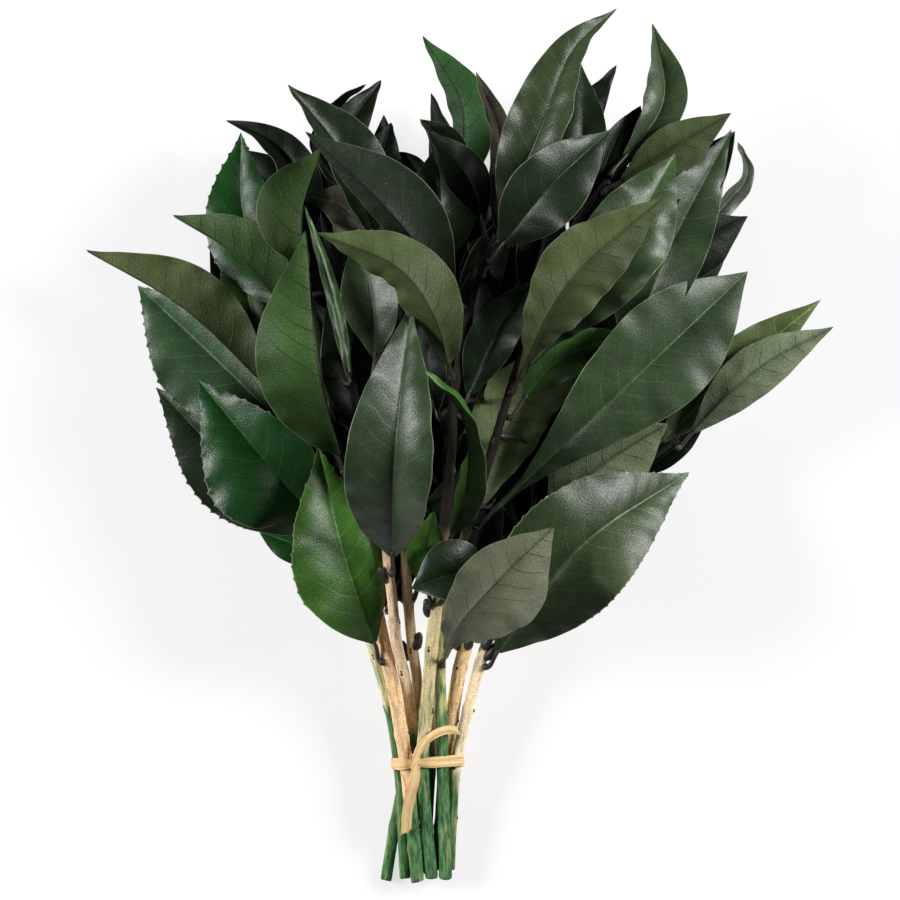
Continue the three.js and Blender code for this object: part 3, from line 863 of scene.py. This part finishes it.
def inner_leaf(stem, at, turn, dice, goal=None):
    """The lines of a leaf that grows from a swelling of a stem, spread, bent and rolled by chance."""
    root, away = stem.out(at, turn)
    run = stem.axes(at)[0]
    spread = dice.uniform(0.25, 1.15)
    heading = unit(math.cos(spread) * run + math.sin(spread) * away)
    size = dice.uniform(0.045, 0.115)
    if goal is not None:
        # Light drew this one towards an opening, and its blade lies across it.
        heading = unit(goal - root)
        size = np.linalg.norm(goal - root) / dice.uniform(0.45, 0.85)
    face = unit(run - heading * (run @ heading))
    side = np.cross(heading, face)
    roll = dice.uniform(-1.1, 1.1)
    sine, cosine = math.sin(roll), math.cos(roll)
    face, side = cosine * face + sine * side, cosine * side - sine * face
    bend, sway = dice.uniform(-0.5, 0.9), dice.uniform(-0.35, 0.35)
    stalk_end = root + heading * 0.009
    steps = np.diff(BLADE_STATIONS)
    midrib, normals = [stalk_end], [face]
    for k, step in enumerate(steps):
        way = (BLADE_STATIONS[k] + BLADE_STATIONS[k + 1]) / 2
        onward = unit(heading + face * bend * way + side * sway * way)
        midrib.append(midrib[-1] + onward * size * step)
        normals.append(unit(face - onward * (face @ onward)))
    midrib, normals = np.array(midrib), np.array(normals)
    _, across, _ = directions(midrib, normals)
    width = size * dice.uniform(0.16, 0.2)
    half = (width * ARCH + 0.0012 * (1 - BLADE_STATIONS))[:, None]
    fold = dice.uniform(0.1, 0.5)
    left, right = margins(midrib, half, across * math.cos(fold), normals * math.sin(fold))
    stalk = np.array([root - away * 0.0008, root + heading * 0.004, root + heading * 0.008])
    return midrib, left, right, stalk


placed = [leaf_tree(lines) for lines in grown]
wood = {node: stem_tree(stem) for node, stem in stems.items()}

# Small leaves that show between the large ones: the number of the stem each grows from, its half
# width in mm, its roll in degrees, its midrib's route in mm sideways and along the bunch, and its dye
# where that isn't the near black that stands for painted shade. The first two lie on top, and the rest
# beneath the large leaves.
SMALL_LEAVES = [
    (2, 2.6, 10, [(-30, 204), (-37, 238), (-48, 273)], "leaf_green"),
    (9, 4.5, 30, [(26, 282), (29, 300), (20, 327)], "brown_green"),
    (5, 9, 10, [(33, 258), (34, 275), (31, 294)]),
    (5, 8, -10, [(22, 246), (25, 262), (28, 282)]),
    (6, 10, 10, [(40, 238), (45, 255), (50, 278)]),
    (6, 11, 0, [(44, 208), (62, 222), (86, 246)]),
    (6, 9, 10, [(58, 262), (68, 282), (80, 310)]),
    (6, 5.5, 0, [(78, 288), (80, 300), (86, 314)]),
    (9, 8, 0, [(4, 190), (0, 212), (2, 236)]),
    (2, 11, 0, [(-38, 240), (-42, 262), (-46, 296)]),
    (8, 9, 0, [(100, 262), (110, 284), (124, 304)]),
    (3, 7, 10, [(-16, 112), (-12, 124), (-8, 150)]),
    (1, 8, 0, [(-40, 132), (-54, 138), (-68, 143)], "bottle_green"),
    (4, 8, 0, [(-16, 258), (-17, 284), (-17, 311)]),
    (8, 9, 0, [(70, 176), (86, 188), (104, 196)]),
    (1, 9, 0, [(-60, 200), (-76, 232), (-88, 258)]),
    (5, 9, 0, [(12, 205), (18, 225), (20, 250)]),
    (5, 8, 10, [(9, 176), (14, 206), (22, 236)]),
    (5, 8, 0, [(16, 222), (24, 250), (34, 272)]),
    (7, 5, 0, [(86, 166), (99, 176), (113, 188)]),
    (2, 7, 0, [(-33, 156), (-37, 172), (-40, 190)]),
    (8, 6, 0, [(103, 256), (116, 264), (130, 271)], "pale_olive"),
    (6, 6, 0, [(26, 154), (36, 167), (50, 186)]),
    (5, 6, 0, [(8, 160), (14, 179), (20, 200)]),
    (4, 6, 0, [(-15, 212), (-11, 231), (-8, 252)]),
    (6, 6, 0, [(44, 180), (52, 195), (60, 214)]),
    (5, 6, 0, [(23, 226), (29, 241), (35, 258)]),
    (5, 7, 0, [(24, 198), (32, 212), (43, 227)]),
    (6, 8, -10, [(62, 256), (72, 276), (78, 300)]),
    (6, 7, 0, [(84, 270), (94, 282), (106, 300)]),
]
ON_TOP = 2
REACH = 0.026  # how far above its stem a small leaf may stand
LEVEL_STEP = 0.0025


def drawn_leaf(stem, route, half_width, roll, level):
    """The lines of a leaf along a route at a level above the table, on a stalk from its stem."""
    route = np.array(route) / 1000 + axis_foot[:2]
    line = np.column_stack([route, level + np.array([0, 0.001, -0.003])])
    marks = lengths(line)
    midrib = smooth(marks, line, BLADE_STATIONS * marks[-1])
    s = stem.nearest(line[0])
    centre, radius = stem.at(s)
    away = unit(line[0] - centre[0])
    root = centre[0] + away * radius[0]
    roll = math.radians(roll)
    onward, across, normals = directions(midrib, [math.sin(roll), 0, math.cos(roll)])
    half = (half_width / 1000 * ARCH + 0.0008 * (1 - BLADE_STATIONS))[:, None]
    left, right = margins(midrib, half, across * 0.96, normals * 0.28)
    stalk = np.array([root - away * 0.0008, (root + line[0]) / 2, line[0] - onward[0] * 0.001])
    return midrib, left, right, stalk


small = []
for number, (stem_number, half_width, roll, route, *dyes) in enumerate(SMALL_LEAVES):
    node = "stem_%d" % stem_number
    dye = dyes[0] if dyes else "painted_shade_black"
    foot = np.append(np.array(route[0]) / 1000 + axis_foot[:2], 0.05)
    stem_level = stems[node].at(stems[node].nearest(foot))[0][0, 2]
    for level in np.arange(stem_level + REACH, LOWEST, -LEVEL_STEP):
        lines = drawn_leaf(stems[node], route, half_width, roll, level)
        points = blade_points(lines, 24, 9)
        hidden = below(points, np.where(covered, ceiling, high[2]))
        if not inside_box(points) or not (hidden or number < ON_TOP):
            continue
        tree = leaf_tree(lines)
        if has_room(tree, node):
            small.append((lines, dye))
            placed.append(tree)
            gap &= ~shadow(lines)
            break
dice = np.random.default_rng(7)
slots = [
    (node, at, pair_angle(stems[node], index) + side)
    for node in stem_nodes
    for index, at in enumerate(stems[node].nodes)
    for side in (0, math.pi)
    if at > 0.1
]
dice.shuffle(slots)
inner, used = [], set()
# The first round aims each leaf at an opening, and the second lets the rest fall where they fit.
for aimed in (True, False):
    for number, (node, at, turn) in enumerate(slots):
        stem = stems[node]
        taken = any(abs(at - s) < 0.006 and math.cos(turn - angle) > 0.5 for s, angle in stem.leaves)
        if taken or number in used:
            continue
        best, best_score = None, 0
        root = stem.out(at, turn)[0]
        open_cells = low[:2] + (np.argwhere(gap) + 0.5) * CELL
        reach = np.linalg.norm(open_cells - root[:2], axis=1)
        ahead = (open_cells - root[:2]) @ stem.axes(at)[0][:2]
        open_cells = open_cells[(reach > 0.02) & (reach < 0.09) & (ahead > 0.3 * reach)]
        for _ in range(TRIES):
            goal = None
            if len(open_cells) and aimed:
                cell = open_cells[dice.integers(len(open_cells))]
                goal = np.append(cell, dice.uniform(LOWEST, INNER_LIMIT))
            lines = inner_leaf(stem, at, turn + dice.uniform(-0.5, 0.5), dice, goal)
            points = blade_points(lines, 24, 9)
            if not inside_box(points) or not inside[cells(points)].all() or not below(points, ceiling):
                continue
            if not 0.04 < lengths(lines[0])[-1] < 0.125:
                continue
            fresh = shadow(lines)
            opening = (fresh & gap).sum()
            score = opening + 0.05 * fresh.sum()
            if score <= best_score or (aimed and opening < 8):
                continue
            tree = leaf_tree(lines)
            if has_room(tree, node):
                best, best_score = (lines, tree, fresh), score
        if best:
            used.add(number)
            inner.append((best[0], "painted_shade_black"))
            placed.append(best[1])
            gap &= ~best[2]
# The inner leaves take 0.7 of their dye's colour, as painted shade deep in the bunch.
for kind, leaves, seed, depth in (("small", small, 200, 1.0), ("inner", inner, 300, 0.7)):
    for number, (lines, dye) in enumerate(leaves):
        dice = np.random.default_rng(seed + number)
        tints = dye_tints(dye, dice, depth)
        mesh = leaf_mesh("%s_leaf_%d" % (kind, number + 1), lines, tints, dice, fine=kind == "small")
        add_piece(mesh, LEAF_MATERIALS, "leaf_dark")


# --------------------------------------------------
# The raffia: one flat strip of dried palm leaf, drawn tight round the stems and knotted in front.
# It is folded and creased lengthwise, and its two tails, cut aslant, curl away from the knot.

TIE_LEVEL = 0.0502
TIE_SLOPE = 0.055
BAND_WIDTH = 0.0048
BAND_POINTS = 150
KNOT_WIDTH = 0.0036
KNOT_POINTS = 40
STRIP_THICKNESS = 0.00028
STRIP_COLUMNS = 15
TAIL_POINTS = 46

# Places in mm, sideways from the bunch's axis, along it from the cut ends, and up. The tails are
# listed with their width, the one that points up the bunch first.
KNOT_PLACE = (-4.4, 50.0, 24.2)
TAILS = [
    (0.0034, [(-5, 50, 25.2), (-1.5, 57, 26.4), (4, 61.5, 26.9), (9, 63, 25.4), (13, 62.5, 22.9)]),
    (0.0042, [(-4, 50, 25.4), (-4.6, 43, 25), (-7.2, 33, 21.9), (-8.2, 21, 17.8)]),
]

# Raffia is straw-coloured and has a soft shine. Its fibres run the length of the strip, about 0.3 mm
# apart, and it is tanned in patches.
raffia, tree, shader = new_material("dried_raffia_strip")
place = attribute(tree, "strip_place")["Vector"]
fibres = noise(tree, scaled(tree, place, (0.06, 3.2, 1)), 1.0, 4.0, 0.7)
straw = mixed(tree, graded(tree, fibres, 0.3, 0.65), srgb("#c69757"), srgb("#f3daa8"))
tanned = graded(tree, noise(tree, place, 0.25, 2.0), 0.4, 0.75, 0.0, 0.5)
wire(tree, shader, {"Base Color": mixed(tree, tanned, straw, srgb("#dbab66")), "Roughness": 0.55})
relief(tree, shader, fibres, 0.5, 0.0002)


def strip(line, outward, widths, dice, closed=False, slant=0.0, crease=0.0004):
    """A creased strip along a line, as a thin closed shell; outward is the way its face looks."""
    onward = np.roll(line, -1, axis=0) - np.roll(line, 1, axis=0) if closed else np.gradient(line, axis=0)
    run = unit(onward)
    across = unit(np.cross(run, outward))
    outward = np.cross(across, run)
    v = np.linspace(-1, 1, STRIP_COLUMNS)
    marks = lengths(line)
    phase = dice.uniform(0, 6.28, 2)
    turn = 2 * math.pi * marks / (marks[-1] + np.linalg.norm(line[0] - line[-1]))
    folds = 0.5 * np.cos(5.2 * v[None] + phase[0] + 1.2 * np.sin(2 * turn + phase[1])[:, None])
    folds = folds + 0.3 * np.cos(13 * v[None] + phase[1] + 2.0 * np.sin(3 * turn)[:, None])
    folds = folds - 0.9 * v[None] ** 2
    half = widths[:, None] / 2
    face = line[:, None] + across[:, None] * (v[None] * half)[..., None]
    face = face + outward[:, None] * (crease * (folds + 0.9))[..., None]
    if slant:
        cut = fade(len(line) - 4, len(line) - 1, np.arange(len(line)))[:, None] * v[None] * slant
        face = face + run[:, None] * cut[..., None]
    back = face - outward[:, None] * STRIP_THICKNESS
    points = np.concatenate([face, back[:, ::-1]], axis=1)
    count, around = points.shape[:2]
    flat = points.reshape(-1, 3)
    faces = tube_faces(count, around)
    if closed:
        last = (count - 1) * around
        faces += [(last + k, last + (k + 1) % around, (k + 1) % around, k) for k in range(around)]
    else:
        faces += end_caps(count, around)
    down = np.concatenate([v, v[::-1]])[None] * half * 1000
    place = np.stack([marks[:, None] * 1000 * np.ones_like(down), down, 0 * down], axis=-1).reshape(-1, 3)
    return flat, faces, place


def tie_loop(level, stand_off, count):
    """A loop drawn tight round the stems at a level, as points that are evenly spaced."""
    angle = angles_round(24)
    around = []
    for stem in stems.values():
        s = np.linspace(0, stem.length, 300)
        centre, radius = stem.at(s)
        k = int(np.argmin(abs(centre[:, 1] - level - TIE_SLOPE * centre[:, 0])))
        reach = radius[k] * 1.06 + stand_off
        x = centre[k, 0] + reach * np.cos(angle)
        z = centre[k, 2] + reach * np.sin(angle)
        around.append(np.stack([x, z], axis=1))
    around = np.concatenate(around)
    corners = around[convex_hull_2d(around.tolist())]
    corners = np.roll(corners, -int(np.argmin(corners[:, 0])), axis=0)
    corners = np.concatenate([corners, corners[:1]])
    marks = lengths(corners)
    at = np.linspace(0, marks[-1], count, endpoint=False)
    x, z = (np.interp(at, marks, corners[:, k]) for k in (0, 1))
    return np.stack([x, level + TIE_SLOPE * x, z], axis=1)


parts = []
dice = np.random.default_rng(60)
knot = np.array(KNOT_PLACE) / 1000 + axis_foot
loop = tie_loop(axis_foot[1] + TIE_LEVEL, 0.00045, BAND_POINTS)
near_knot = np.exp(-((np.linalg.norm(loop - knot, axis=1) / 0.004) ** 2))
widths = BAND_WIDTH * (1 - 0.45 * near_knot) * (1 + 0.06 * np.sin(np.arange(BAND_POINTS) / 9))
parts.append(strip(loop, unit(loop - loop.mean(0)), widths, dice, closed=True, crease=0.0003))
# The knot is the strip itself, turned once round the band.
angle = np.linspace(0, 2 * math.pi, KNOT_POINTS, endpoint=False)
turn = np.stack([0.0004 * np.sin(2 * angle), 0.0031 * np.cos(angle), 0.0013 * np.sin(angle)], axis=1)
widths = KNOT_WIDTH * (1 - 0.12 * np.sin(angle))
parts.append(strip(knot + turn, unit(turn), widths, dice, closed=True, crease=0.00035))
for width, route in TAILS:
    points = np.array(route) / 1000 + axis_foot
    marks = lengths(points)
    line = smooth(marks, points, np.linspace(0, marks[-1], TAIL_POINTS))
    widths = width * (0.62 + 0.38 * fade(0, 9, np.arange(TAIL_POINTS)))
    up = np.tile([0.15, 0, 1.0], (TAIL_POINTS, 1))
    parts.append(strip(line, up, widths, dice, slant=0.0014))
points, faces = joined([part[:2] for part in parts])
place = np.concatenate([part[2] + [70 * k, 0, 0] for k, part in enumerate(parts)])
mesh = new_mesh("raffia_strip", points, faces, [0] * len(faces), strip_place=place)
add_piece(mesh, (raffia,), "raffia", "raffia_tie")


# --------------------------------------------------
# The floor, the light and the camera. The bunch lies on a white table between two large soft lamps,
# and the camera looks straight down on it through a long lens.

LAMPS = {"softbox_left": (-1.5, 0.2, 1.0), "softbox_right": (1.35, 0.45, 1.0)}
LAMP_SIZE = 0.6
LAMP_POWER = 34
MIDDLE = (0, 0, 0.04)

white_table, tree, shader = new_material("white_table")
wire(tree, shader, {"Base Color": srgb("#fafafa"), "Roughness": 0.9})
# To the camera alone the table is partly a light of strength 1, so it shows white under a soft shadow.
glow_share = product(tree, put(tree, "LightPath").outputs["Is Camera Ray"], 0.7)
glow = put(tree, "Emission", {"Strength": 1.0}).outputs[0]
blend = put(tree, "MixShader", {0: glow_share, 1: shader.outputs[0], 2: glow}).outputs[0]
wire(tree, tree.nodes["Material Output"], {"Surface": blend})
bpy.ops.mesh.primitive_plane_add(size=8, location=(0, 0, -0.0002))
floor = bpy.context.object
floor.name = "table_top"
floor.data.materials.append(white_table)

for name, place in LAMPS.items():
    light = bpy.data.lights.new(name, "AREA")
    light.size = LAMP_SIZE
    light.energy = LAMP_POWER
    lamp = bpy.data.objects.new(name, light)
    lamp.location = place
    lamp.rotation_euler = (Vector(MIDDLE) - Vector(place)).to_track_quat("-Z", "Y").to_euler()
    bpy.context.scene.collection.objects.link(lamp)
world = bpy.data.worlds.new("studio")
world.use_nodes = True
background = world.node_tree.nodes["Background"]
wire(world.node_tree, background, {"Color": (1, 1, 1, 1), "Strength": 0.06})
scene = bpy.context.scene
scene.world = world

camera_data = bpy.data.cameras.new("camera")
camera_data.sensor_width = 36
camera_data.lens = 245
camera = bpy.data.objects.new("camera", camera_data)
camera.location = (-0.0039, 0.0002, 2.5)
scene.collection.objects.link(camera)
scene.camera = camera
scene.view_settings.view_transform = "Standard"
